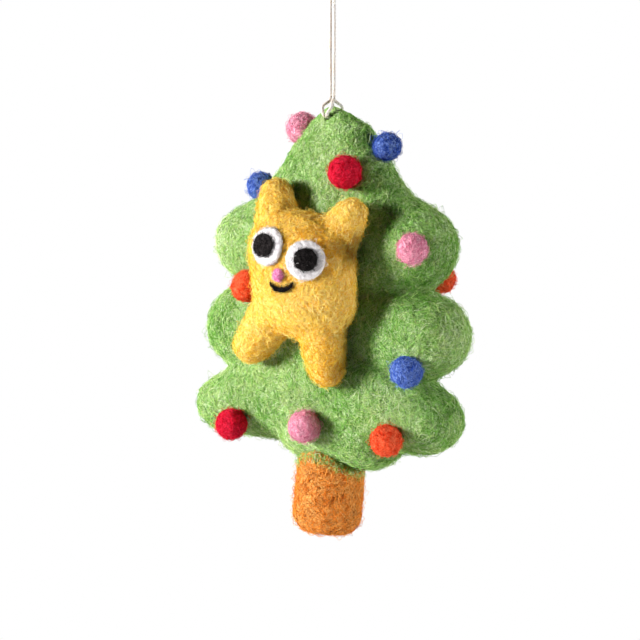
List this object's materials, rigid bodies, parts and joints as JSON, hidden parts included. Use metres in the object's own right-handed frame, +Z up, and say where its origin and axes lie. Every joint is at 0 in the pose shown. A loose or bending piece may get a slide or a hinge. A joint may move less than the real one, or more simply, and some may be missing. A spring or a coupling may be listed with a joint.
{
  "type": "felt christmas ornament",
  "caption": "Needle-felted tree ornament with rounded boughs, felt balls and a felt cat on its front, hanging from a doubled twine loop.",
  "frame": {"origin": "the point where a hook carries the twine's loop, just under the knot", "axes": "+Z up along the hanging twine, the front with the cat towards -Y, +X to the right seen from the front"},
  "size_m": [0.0954, 0.0508, 0.1878],
  "materials": {
    "green_felt": "fuzzy needle-felted wool, mottled light and dark greens",
    "core_wool": "undyed wool batting",
    "yellow_felt": "fuzzy needle-felted wool, warm yellow",
    "brown_felt": "needle-felted wool, orange brown",
    "pink_felt": "felted wool ball, dusty pink",
    "red_felt": "felted wool ball, red",
    "blue_felt": "felted wool ball, blue",
    "orange_felt": "felted wool ball, orange red",
    "white_felt": "needle-felted white wool",
    "black_felt": "needle-felted black wool",
    "rose_felt": "needle-felted pink wool",
    "cotton_twine": "twisted off-white cotton twine"
  },
  "bodies": {
    "hanging_loop": {"cord_knot": "cotton_twine", "cord_loop_eye": "cotton_twine"},
    "twine": {"cord_strand_left": "cotton_twine", "cord_strand_right": "cotton_twine"},
    "hitch": {"cord_hitch": "cotton_twine"},
    "ornament": {"tree_skin": "green_felt", "tree_core": "core_wool", "trunk": "brown_felt", "ball_pink_top_left": "pink_felt", "ball_blue_top_right": "blue_felt", "ball_red_upper": "red_felt", "ball_blue_left": "blue_felt", "ball_pink_right": "pink_felt", "ball_orange_left": "orange_felt", "ball_orange_right": "orange_felt", "ball_blue_lower": "blue_felt", "ball_red_lower": "red_felt", "ball_pink_lower": "pink_felt", "ball_orange_lower": "orange_felt", "cat_body": "yellow_felt", "cat_ear_left": "yellow_felt", "cat_ear_right": "yellow_felt", "cat_leg_left": "yellow_felt", "cat_leg_right": "yellow_felt", "cat_eye_white_left": "white_felt", "cat_eye_white_right": "white_felt", "cat_pupil_left": "black_felt", "cat_pupil_right": "black_felt", "cat_nose": "rose_felt", "cat_mouth": "black_felt"}
  },
  "joints": [
    {"name": "twine_twist", "type": "hinge", "parent": "hanging_loop", "child": "twine", "pos_m": [0, 0, -0.008], "axis": [0, 0, 1], "range_deg": [-180, 180]},
    {"name": "fore_aft_swing", "type": "hinge", "parent": "twine", "child": "hitch", "pos_m": [0, 0, -0.0432], "axis": [1, 0, 0], "range_deg": [-40, 40]},
    {"name": "side_swing", "type": "hinge", "parent": "hitch", "child": "ornament", "pos_m": [0, 0, -0.04845], "axis": [0, 1, 0], "range_deg": [-40, 40]}
  ]
}
